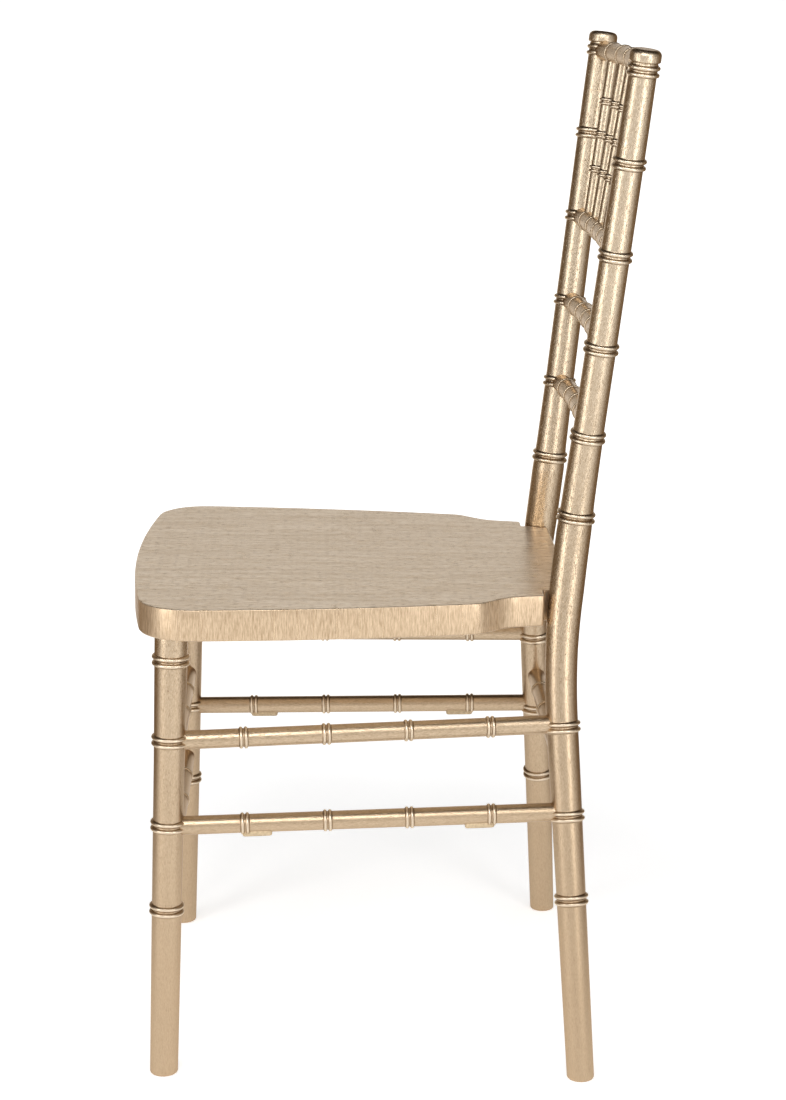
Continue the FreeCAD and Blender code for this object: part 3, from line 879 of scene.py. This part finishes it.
@dataclass
class Stretchers:
    """Seven straight stretchers: two on each side, two in front and one at the rear.

    A side stretcher has a height at its leg and one at its post.
    """

    lacquer: bpy.types.Material
    radius: float = 8.35
    sides: int = 40
    side_heights: tuple[tuple[str, float, float], ...] = (
        ("upper", 313.6, 317.2), ("lower", 234.5, 239.0))
    front_heights: tuple[tuple[str, float], ...] = (("upper", 272.0), ("lower", 182.7))
    rear_height: float = 272.7
    side_ring: Ring = Ring(2, 4.4, 3.2, 1.5)
    side_places: tuple[float, ...] = (-110.0, -36.5, 36.5, 110.0)
    cross_ring: Ring = Ring(1, 0.0, 5.0, 1.4, 0.5)
    cross_shares: tuple[float, ...] = (-0.3, -0.1, 0.1, 0.3)
    setback: float = 4.0

    def stick(self, name: str, start: Vector, end: Vector, ring: Ring,
              places: Sequence[float]) -> None:
        """Builds and dresses one stretcher between two axes.

        Args:
            name: CAD node that it stands for.
            start: Point on the first host's axis.
            end: Point on the second host's axis.
            ring: Pattern of its rings.
            places: Places of the rings, from the middle of the stretcher.
        """
        way = (end - start).normalized()
        spine = Spine.straight(start + way * self.setback, end - way * self.setback)
        rings = [(spine.length / 2 + place, ring) for place in places]
        girth = [(0.0, self.radius), (spine.length, self.radius)]
        piece = TurnedStick(f"{name}_turned", spine, girth, rings, sides=self.sides,
                            sideways=UPWARD).build()
        dress(piece, self.lacquer, name)

    def side_spine(self, hand: Hand, front: float, rear: float) -> tuple[Vector, Vector]:
        """Returns the ends of a side stretcher on the leg's and the post's axis."""
        return LEG_LINE.at(hand, front), POST_LOW_LINE.at(hand, rear)

    def build(self) -> None:
        """Builds and dresses all stretchers."""
        for hand in Hand:
            for level, front, rear in self.side_heights:
                start, end = self.side_spine(hand, front, rear)
                self.stick(f"{hand.word}_{level}_side_stretcher", start, end, self.side_ring,
                           self.side_places)
        rows = [(f"{level}_front_stretcher", LEG_LINE, height)
                for level, height in self.front_heights]
        rows.append(("rear_stretcher", POST_LOW_LINE, self.rear_height))
        for name, line, height in rows:
            start, end = line.at(Hand.LEFT, height), line.at(Hand.RIGHT, height)
            places = [share * (end - start).length for share in self.cross_shares]
            self.stick(name, start, end, self.cross_ring, places)


@dataclass
class BackRails:
    """Four bowed back rails and the six spindles between the upper two.

    A rail has a height and a bow. The shares place the spindles over half its width.
    """

    lacquer: bpy.types.Material
    radius: float = 9.0
    sides: int = 48
    end_rounds: Span = (4.0, 4.0)
    rails: tuple[tuple[str, float, float], ...] = (
        ("lower_rail", 576.0, 7.5), ("middle_rail", 655.0, 7.5),
        ("spindle_rail", 736.0, 6.5), ("top_rail", TOP_RAIL_HEIGHT, 14.0))
    ring: Ring = Ring(1, 0.0, 2.8, 1.2)
    spindle_radius: float = 5.2
    spindle_sides: int = 32
    spindle_ring: Ring = Ring(2, 3.7, 2.7, 2.0)
    spindle_ring_heights: tuple[float, ...] = (785.0, 817.0, 848.0)
    spindle_shares: tuple[float, ...] = (5 / 7, 3 / 7, 1 / 7, -1 / 7, -3 / 7, -5 / 7)

    def spine(self, height: float, bow: float) -> Spine:
        """Returns a rail's middle line, from post axis to post axis."""
        post = POST_HIGH_LINE.at(Hand.LEFT, height)
        return Spine.bowed(post.x, post.y, height, bow)

    def build(self) -> None:
        """Builds and dresses the rails, then the spindles."""
        stations = []
        for name, height, bow in self.rails:
            spine = self.spine(height, bow)
            half = spine.points[0].x
            places = [spine.where(lambda point: share * half - point.x)
                      for share in self.spindle_shares]
            stations.append([spine.at(place) for place in places])
            girth = [(0.0, self.radius), (spine.length, self.radius)]
            rings = [(place, self.ring) for place in places]
            piece = TurnedStick(f"{name}_turned", spine, girth, rings, sides=self.sides,
                                end_rounds=self.end_rounds, sideways=UPWARD)
            dress(piece.build(), self.lacquer, name)
        for number, (foot, head) in enumerate(zip(stations[2], stations[3]), start=1):
            spine = Spine.straight(foot, head)
            rings = [(spine.at_height(height), self.spindle_ring)
                     for height in self.spindle_ring_heights]
            girth = [(0.0, self.spindle_radius), (spine.length, self.spindle_radius)]
            name = f"spindle_{number}"
            piece = TurnedStick(f"{name}_turned", spine, girth, rings, sides=self.spindle_sides)
            dress(piece.build(), self.lacquer, name)


# Seat panel and bumpers


def slab(name: str, outlines: Sequence[Sequence[Vector]]) -> bpy.types.Object:
    """Joins outlines of equal length into a closed solid.

    Args:
        name: Name of the new object.
        outlines: Closed outlines from one face to the other.

    Returns:
        The new object.
    """
    mesh = bmesh.new()
    close(mesh, [[mesh.verts.new(point * MM) for point in outline] for outline in outlines])
    return placed(name, mesh)


def inset(outline: Sequence[Vector], amount: float, sharpest: float = 0.5) -> list[Vector]:
    """Moves a counter-clockwise outline inwards in its own plane.

    Args:
        outline: Points in a level plane.
        amount: Distance inwards.
        sharpest: Least cosine of half a corner's turn, so that sharp corners don't run off.

    Returns:
        The moved points.
    """
    moved = []
    for number, point in enumerate(outline):
        before, after = outline[number - 1], outline[(number + 1) % len(outline)]
        first, second = (point - before), (after - point)
        way = (first.normalized() + second.normalized()).normalized()
        corner = max(math.cos(first.angle(second, 0.0) / 2), sharpest)
        moved.append(point + Vector((-way.y, way.x, 0.0)) * (amount / corner))
    return moved


@dataclass
class SeatPanel:
    """Shaped wooden panel with a notch round each rear post and a tongue between the posts.

    A node of the outline gives its place and the direction of the outline before and after it.
    A row of the edge gives how far the outline is drawn in and its depth below the top.
    """

    lacquer: bpy.types.Material
    top: Vector = field(default_factory=lambda: Vector((0.0, -19.3, SEAT_HEIGHT)))
    slope: float = 0.85
    nodes: tuple[OutlineNode, ...] = (
        (0.0, -214.05, 0.0, 0.0), (163.5, -202.93, 7.8, 7.8), (203.35, -155.6, 92.3, 92.3),
        (175.15, 91.15, 100.7, 100.7), (170.4, 100.75, 131.9, 131.9),
        (158.15, 114.35, 131.9, 131.9), (149.1, 132.6, 100.9, 100.9),
        (145.2, 153.0, 100.9, 100.9), (142.75, 155.0, 180.0, 180.0),
        (127.0, 155.0, 180.0, 180.0), (125.5, 156.5, 90.0, 90.0))
    rows: tuple[Span, ...] = (
        (1.15, 0.0), (0.45, 0.25), (0.1, 0.7), (0.0, 1.3), (0.0, 9.0), (0.0, 18.0),
        (0.0, 26.4), (0.25, 27.4), (0.9, 28.15), (1.9, 28.5))
    rear_back: float = 180.0
    rear_bow: float = 1.6
    rear_steps: int = 12
    post_clearance: float = 16.3
    notch_steps: int = 16
    point_gap: float = 6.0
    fewest_points: int = 4

    def post_at(self, depth: float) -> Vector:
        """Finds the left post's axis in the panel's own frame.

        Args:
            depth: Depth below the panel's top.

        Returns:
            The point of the axis, level with the panel's middle.
        """
        low = POST_LOW_LINE.at(Hand.LEFT, LOW_BEND_HEIGHT)
        high = POST_HIGH_LINE.at(Hand.LEFT, HIGH_BEND_HEIGHT)
        point = low.lerp(high, (SEAT_HEIGHT - depth - low.z) / (high.z - low.z))
        return Vector((point.x, point.y - self.top.y, 0.0))

    def curve(self, start: OutlineNode, end: OutlineNode) -> list[Vector]:
        """Draws one smooth run of the outline.

        Args:
            start: Node where it starts.
            end: Node where it ends.

        Returns:
            Its points, without the last one.
        """
        first = Vector((start[0], start[1], 0.0))
        last = Vector((end[0], end[1], 0.0))
        out, back = math.radians(start[3]), math.radians(end[2])
        chord = (last - first).length
        handle = chord / 3 / math.cos((back - out) / 4) ** 2
        one = first + Vector((math.cos(out), math.sin(out), 0.0)) * handle
        two = last - Vector((math.cos(back), math.sin(back), 0.0)) * handle
        count = max(self.fewest_points, int(chord / self.point_gap))
        points = []
        for number in range(count):
            t = number / count
            points.append(first * (1 - t) ** 3 + one * (3 * t * (1 - t) ** 2)
                          + two * (3 * t * t * (1 - t)) + last * t ** 3)
        return points

    def outline(self, depth: float) -> list[Vector]:
        """Draws the panel's outline, counter-clockwise seen from above.

        Args:
            depth: Depth below the panel's top, on which the place of the posts depends.

        Returns:
            Its points.
        """
        half = []
        for start, end in zip(self.nodes, self.nodes[1:]):
            half += self.curve(start, end)
        side = self.nodes[-1][0]
        half.append(Vector((side, self.nodes[-1][1], 0.0)))
        post = self.post_at(depth)
        reach = self.post_clearance
        enter = -math.pi / 2 - math.asin(min((post.x - side) / reach, 1.0))
        behind = max(min((self.rear_back - post.y) / reach, 1.0), -1.0)
        leave = math.pi - math.asin(behind) - 2 * math.pi
        for number in range(self.notch_steps + 1):
            turn = enter + (leave - enter) * number / self.notch_steps
            half.append(post + Vector((math.cos(turn), math.sin(turn), 0.0)) * reach)
        edge = half[-1].x
        for number in range(1, self.rear_steps):
            share = 1 - number / self.rear_steps
            back = self.rear_back + self.rear_bow * (1 - share ** 2)
            half.append(Vector((edge * share, back, 0.0)))
        half.append(Vector((0.0, self.rear_back + self.rear_bow, 0.0)))
        mirrored = [Vector((-point.x, point.y, 0.0)) for point in half[-2:0:-1]]
        return half + mirrored

    def build(self) -> None:
        """Builds and dresses the panel."""
        lean = math.radians(-self.slope)
        outlines = []
        for amount, depth in self.rows:
            outline = inset(self.outline(depth), amount)
            outlines.append([self.top + Vector((
                point.x,
                point.y * math.cos(lean) + depth * math.sin(lean),
                point.y * math.sin(lean) - depth * math.cos(lean),
            )) for point in outline])
        dress(slab("seat_panel", outlines), self.lacquer, "seat")


@dataclass
class Bumpers:
    """Four stacking bumpers under the lower side stretchers.

    A row gives how far the outline is drawn in and its depth below the stretcher's axis.
    """

    plastic: bpy.types.Material
    stretchers: Stretchers
    start: float = 86.0
    length: float = 26.5
    width: float = 12.0
    corner: float = 2.4
    corner_steps: int = 6
    rows: tuple[Span, ...] = ((0.0, 3.0), (0.0, 9.2), (0.2, 10.0), (0.7, 10.6), (1.5, 10.95))

    def outline(self) -> list[Vector]:
        """Draws the pad's plan, a rectangle with round corners and its length along x.

        Returns:
            Its points.
        """
        points = []
        for number, (x, y) in enumerate(((1, 1), (0, 1), (0, 0), (1, 0))):
            centre = Vector(((self.length - self.corner) if x else self.corner,
                             (self.width / 2 - self.corner) * (1 if y else -1), 0.0))
            for step in range(self.corner_steps + 1):
                turn = math.pi / 2 * (number + step / self.corner_steps)
                points.append(centre + Vector((math.cos(turn), math.sin(turn), 0.0)) * self.corner)
        return points

    def build(self) -> None:
        """Builds and dresses the four pads."""
        _, front, rear = self.stretchers.side_heights[1]
        for hand in Hand:
            foot, head = self.stretchers.side_spine(hand, front, rear)
            middle = (foot + head) / 2
            for end, sign in (("front", -1), ("rear", 1)):
                way = (head - foot).normalized() * sign
                across = UPWARD.cross(way).normalized()
                down = across.cross(way)
                down = down if down.z < 0 else -down
                start = middle + way * self.start
                outlines = [[start + way * p.x + across * p.y + down * depth
                             for p in inset(self.outline(), amount)] for amount, depth in self.rows]
                name = f"{hand.word}_{end}_bumper"
                dress(slab(f"{name}_pad", outlines), self.plastic, name)


# Floor, lamps and camera


@dataclass(frozen=True)
class Lamp:
    """Rectangular lamp turned to the chair's middle line at a height; lengths in metres."""

    name: str
    place: Triple
    aim: float
    size: Span
    power: float

    def build(self) -> None:
        """Sets up the lamp."""
        data = bpy.data.lights.new(self.name, "AREA")
        data.shape = "RECTANGLE"
        data.size, data.size_y = self.size
        data.energy = self.power
        lamp = bpy.data.objects.new(self.name, data)
        lamp.location = self.place
        way = Vector((0.0, 0.0, self.aim)) - Vector(self.place)
        lamp.rotation_euler = way.to_track_quat("-Z", "Y").to_euler()
        bpy.context.scene.collection.objects.link(lamp)


@dataclass
class Studio:
    """Plain pale floor, soft lamps and the camera.

    The eye is in millimetres and the floor in metres. A fade gives two values of a direction
    or distance, then the brightness at each. A span of either fades from none to full.
    """

    eye: Vector = field(default_factory=lambda: Vector((2361.66, -62.41, 1019.47)))
    down_tilt: float = 13.764
    heading: float = 88.351
    lens: float = 84.857
    sensor: float = 36.0
    nearest: float = 0.05
    lamps: tuple[Lamp, ...] = (
        Lamp("left_strip", (0.86, -1.10, 0.92), 0.70, (0.5, 1.5), 6.8),
        Lamp("right_strip", (1.15, 0.80, 0.92), 0.70, (0.4, 1.5), 5.5),
        Lamp("front_softbox", (1.9, -0.2, 1.95), 0.45, (1.2, 0.9), 19.0),
    )
    room_light: float = 0.4
    ceiling: Fade = (0.33, 0.62, 1.0, 0.2)
    near_ceiling: Fade = (0.5, 1.0, 1.0, 0.2)
    near_side: Span = (0.0, 0.4)
    behind: Span = (0.84, 0.96)
    before: Fade = (0.1, -0.55, 0.0, 0.72)
    side_wall: Colour = (0.20, 0.14, 0.085)
    floor_radii: tuple[float, ...] = (1.0, 3.0, 9.0, 30.0)
    floor_sides: int = 64
    floor_shade: Span = (0.4, 1.0)
    floor_glow: Fade = (0.5, 1.8, 0.5, 1.0)
    floor_dullness: float = 0.1

    def camera(self) -> None:
        """Places the camera where the photograph was taken from."""
        data = bpy.data.cameras.new("camera")
        data.lens = self.lens
        data.sensor_width = self.sensor
        data.clip_start = self.nearest
        camera = bpy.data.objects.new("camera", data)
        camera.location = self.eye * MM
        camera.rotation_euler = (math.radians(90 - self.down_tilt), 0.0,
                                 math.radians(self.heading))
        bpy.context.scene.collection.objects.link(camera)
        bpy.context.scene.camera = camera

    def floor(self) -> None:
        """Lays the pale floor, whose far parts shade into the white surroundings."""
        mesh = bmesh.new()
        turns = [2 * math.pi * number / self.floor_sides for number in range(self.floor_sides)]
        rings = [[mesh.verts.new((radius * math.cos(turn), radius * math.sin(turn), 0.0))
                  for turn in turns] for radius in self.floor_radii]
        mesh.faces.new(rings[0])
        for inner, outer in zip(rings, rings[1:]):
            for number in range(self.floor_sides):
                beside = (number + 1) % self.floor_sides
                mesh.faces.new((inner[number], outer[number], outer[beside], inner[beside]))
        floor = placed("studio_floor", mesh)
        board = NodeBoard(bpy.data.materials.new("pale_floor"))
        mirrored, seen = board.rays()
        place = board.object_place()
        away = board.add("ShaderNodeVectorMath", {0: place}, operation="LENGTH").outputs["Value"]
        bearing = board.add("ShaderNodeVectorMath", {0: place}, operation="NORMALIZE").outputs[0]
        side = self.walls(board, bearing, mirrored)
        shade = board.blend(board.ramp(away, *self.floor_shade), WHITE, side)
        matt = board.add("ShaderNodeBsdfDiffuse", {
            "Color": board.blend(self.floor_dullness, shade, BLACK)})
        glow = board.add("ShaderNodeEmission", {
            "Color": shade, "Strength": board.ramp(away, *self.floor_glow)})
        both = board.add("ShaderNodeAddShader", {0: matt.outputs[0], 1: glow.outputs[0]})
        mix = board.add("ShaderNodeMixShader", {0: seen, 1: matt.outputs[0], 2: both.outputs[0]})
        board.add("ShaderNodeOutputMaterial", {"Surface": mix.outputs[0]})
        floor.data.materials.append(board.owner)

    def walls(self, board: NodeBoard, bearing: bpy.types.NodeSocket,
              mirrored: bpy.types.NodeSocket) -> bpy.types.NodeSocket:
        """Darkens the white studio beside the backdrop, in reflections only.

        Args:
            board: Tree that the nodes go into.
            bearing: Socket with the direction from the chair.
            mirrored: Socket that is 1 where the ray is a reflection.

        Returns:
            Socket with the colour of the studio in that direction.
        """
        toward = board.maths("MULTIPLY", board.parts(bearing)["X"], -1.0)
        light = board.maths("MAXIMUM", board.ramp(toward, *self.behind),
                            board.ramp(toward, *self.before))
        return board.blend(mirrored, WHITE, board.blend(light, self.side_wall, WHITE))

    def surroundings(self) -> None:
        """Sets the soft grey light of the room, which the camera sees as white.

        To the camera and in reflections it fades upwards, sooner behind the chair than before it.
        """
        world = bpy.data.worlds.new("soft_room")
        bpy.context.scene.world = world
        board = NodeBoard(world)
        mirrored, seen = board.rays()
        bearing = board.add("ShaderNodeTexCoord").outputs["Generated"]
        parts = board.parts(bearing)
        brightness = board.between(board.ramp(parts["X"], *self.near_side),
                                   board.ramp(parts["Z"], *self.ceiling),
                                   board.ramp(parts["Z"], *self.near_ceiling))
        room = board.add("ShaderNodeBackground", {
            "Color": (*WHITE, 1.0), "Strength": self.room_light})
        backdrop = board.add("ShaderNodeBackground", {
            "Color": self.walls(board, bearing, mirrored), "Strength": brightness})
        mix = board.add("ShaderNodeMixShader", {
            0: seen, 1: room.outputs[0], 2: backdrop.outputs[0]})
        board.add("ShaderNodeOutputWorld", {"Surface": mix.outputs[0]})

    def build(self) -> None:
        """Sets up the whole studio."""
        self.camera()
        for lamp in self.lamps:
            lamp.build()
        self.floor()
        self.surroundings()
        bpy.context.scene.view_settings.view_transform = "Standard"
        LOG.info("studio: camera, %d lamps, floor and surroundings", len(self.lamps))


def corners(box: tuple[Vector, Vector]) -> list[list[float]]:
    """Returns the two corners of a box as plain lists."""
    return [list(corner) for corner in box]


def main() -> None:
    """Builds the studio and every sub-assembly."""
    logging.basicConfig(level=logging.INFO, format="%(name)s: %(message)s")
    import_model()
    stick_lacquer = StickLacquer().material()
    Studio().build()
    stretchers = Stretchers(stick_lacquer)
    for assembly in (
        SeatPanel(SeatLacquer().material()),
        FrontLegs(stick_lacquer),
        RearPosts(stick_lacquer),
        stretchers,
        BackRails(stick_lacquer),
        Bumpers(BumperPlastic().material(), stretchers),
    ):
        assembly.build()


if __name__ == "__main__":
    main()
